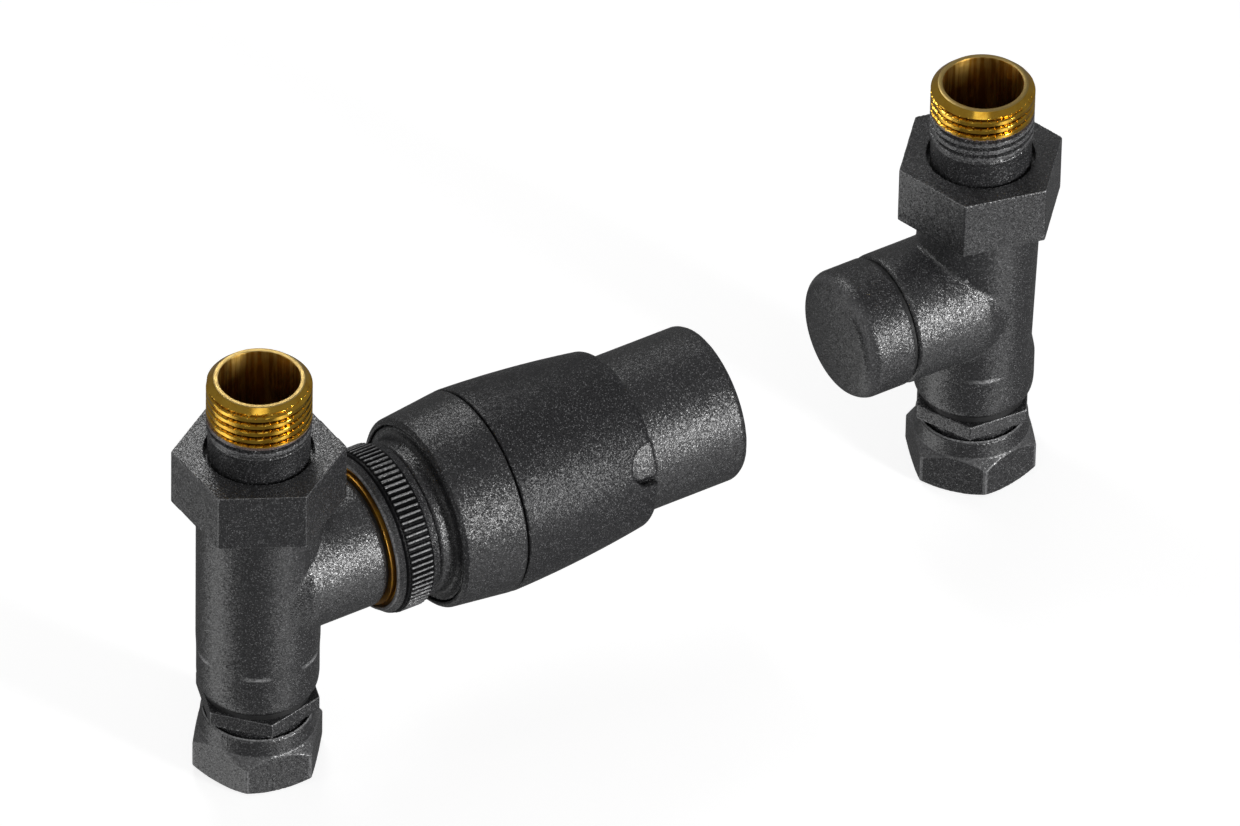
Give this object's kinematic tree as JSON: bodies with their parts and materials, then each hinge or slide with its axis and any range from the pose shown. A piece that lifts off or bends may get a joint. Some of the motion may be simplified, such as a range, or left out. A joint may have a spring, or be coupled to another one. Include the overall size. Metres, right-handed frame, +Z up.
{
  "type": "thermostatic radiator valve set",
  "caption": "Straight thermostatic radiator valve with sensor head and matching lockshield valve, dark textured coat, brass radiator tails.",
  "frame": {"origin": "centre of the thermostatic valve's pipe mouth, on the underside of its compression nut", "axes": "+Z up the valves, from the pipe ends to the radiator tails; +X along the thermostatic head, towards its closed end; the lockshield valve stands at +X with its cap towards -X"},
  "size_m": [0.2032, 0.0429, 0.0975],
  "materials": {
    "metal_coat": "graphite textured powder coat with fine metallic sparkle",
    "shell_coat": "graphite textured coat matching the valve bodies",
    "brass": "machined and lightly polished",
    "black_rubber": "matte",
    "steel": "drawn wire and turned bar",
    "white_plastic": "moulded"
  },
  "bodies": {
    "valves": {"trv_valve_body": "metal_coat", "trv_tailpiece": "brass", "trv_tail_washer": "black_rubber", "trv_insert_housing": "brass", "trv_insert_seal": "black_rubber", "trv_gland_ring": "black_rubber", "trv_insert_spring": "steel", "trv_pipe_adaptor": "metal_coat", "trv_adaptor_seal": "black_rubber", "trv_olive": "brass", "head_neck": "metal_coat", "head_snap_ring": "steel", "head_lower_sleeve": "shell_coat", "head_handle_clip": "steel", "ls_valve_body": "metal_coat", "ls_tailpiece": "brass", "ls_tail_washer": "black_rubber", "ls_bonnet": "brass", "ls_bonnet_seal": "black_rubber", "ls_gland_ring": "black_rubber", "ls_pipe_adaptor": "metal_coat", "ls_adaptor_seal": "black_rubber", "ls_olive": "brass"},
    "handle": {"head_outer_sleeve": "shell_coat", "head_end_sleeve": "shell_coat"},
    "sensor": {"head_push_rod": "white_plastic", "head_relief_spring": "steel", "head_sensor_capsule": "brass", "head_setting_nut": "white_plastic"},
    "trv_plug": {"trv_insert_spindle": "steel", "trv_insert_disc": "brass", "trv_seat_washer": "black_rubber"},
    "collar_nut": {"trv_collar_nut": "metal_coat"},
    "trv_union": {"trv_union_nut": "metal_coat"},
    "trv_compression": {"trv_compression_nut": "metal_coat"},
    "ls_union": {"ls_union_nut": "metal_coat"},
    "ls_compression": {"ls_compression_nut": "metal_coat"},
    "ls_cap": {"ls_cap": "shell_coat"},
    "ls_plug": {"ls_valve_disc": "brass", "ls_seat_washer": "black_rubber"},
    "ls_screw": {"ls_spindle": "steel"}
  },
  "joints": [
    {"name": "head_turn", "type": "hinge", "parent": "valves", "child": "handle", "pos_m": [0, 0, 0.0468], "axis": [1, 0, 0], "range_deg": [-150, 150]},
    {"name": "sensor_slide", "type": "slide", "parent": "valves", "child": "sensor", "axis": [1, 0, 0], "range_m": [-0.00151, 0.00151]},
    {"name": "trv_plug_slide", "type": "slide", "parent": "valves", "child": "trv_plug", "axis": [1, 0, 0], "range_m": [-0.00151, 0.00151], "deforming": ["trv_insert_spring"]},
    {"name": "collar_nut_turn", "type": "hinge", "parent": "valves", "child": "collar_nut", "pos_m": [0.0228, 0, 0.0468], "axis": [1, 0, 0], "continuous": true},
    {"name": "trv_union_turn", "type": "hinge", "parent": "valves", "child": "trv_union", "pos_m": [0, 0, 0.0663], "axis": [0, 0, 1], "continuous": true},
    {"name": "trv_compression_turn", "type": "hinge", "parent": "valves", "child": "trv_compression", "pos_m": [0, 0, 0], "axis": [0, 0, 1], "continuous": true},
    {"name": "ls_union_turn", "type": "hinge", "parent": "valves", "child": "ls_union", "pos_m": [0.171, 0.005, 0.0663], "axis": [0, 0, 1], "continuous": true},
    {"name": "ls_compression_turn", "type": "hinge", "parent": "valves", "child": "ls_compression", "pos_m": [0.171, 0.005, 0], "axis": [0, 0, 1], "continuous": true},
    {"name": "ls_cap_pull", "type": "slide", "parent": "valves", "child": "ls_cap", "axis": [-1, 0, 0], "range_m": [0, 0.016]},
    {"name": "ls_plug_slide", "type": "slide", "parent": "valves", "child": "ls_plug", "axis": [1, 0, 0], "range_m": [-0.00151, 0.00151]},
    {"name": "ls_screw_turn", "type": "hinge", "parent": "ls_plug", "child": "ls_screw", "pos_m": [0.171, 0.005, 0.0452], "axis": [1, 0, 0], "range_deg": [-540, 540]}
  ],
  "couplings": [
    {"joint": "sensor_slide", "follows": "head_turn", "m_per_rad": 0.00057296},
    {"joint": "trv_plug_slide", "follows": "head_turn", "m_per_rad": 0.00057296},
    {"joint": "ls_plug_slide", "follows": "ls_screw_turn", "m_per_rad": 0.00015915}
  ]
}
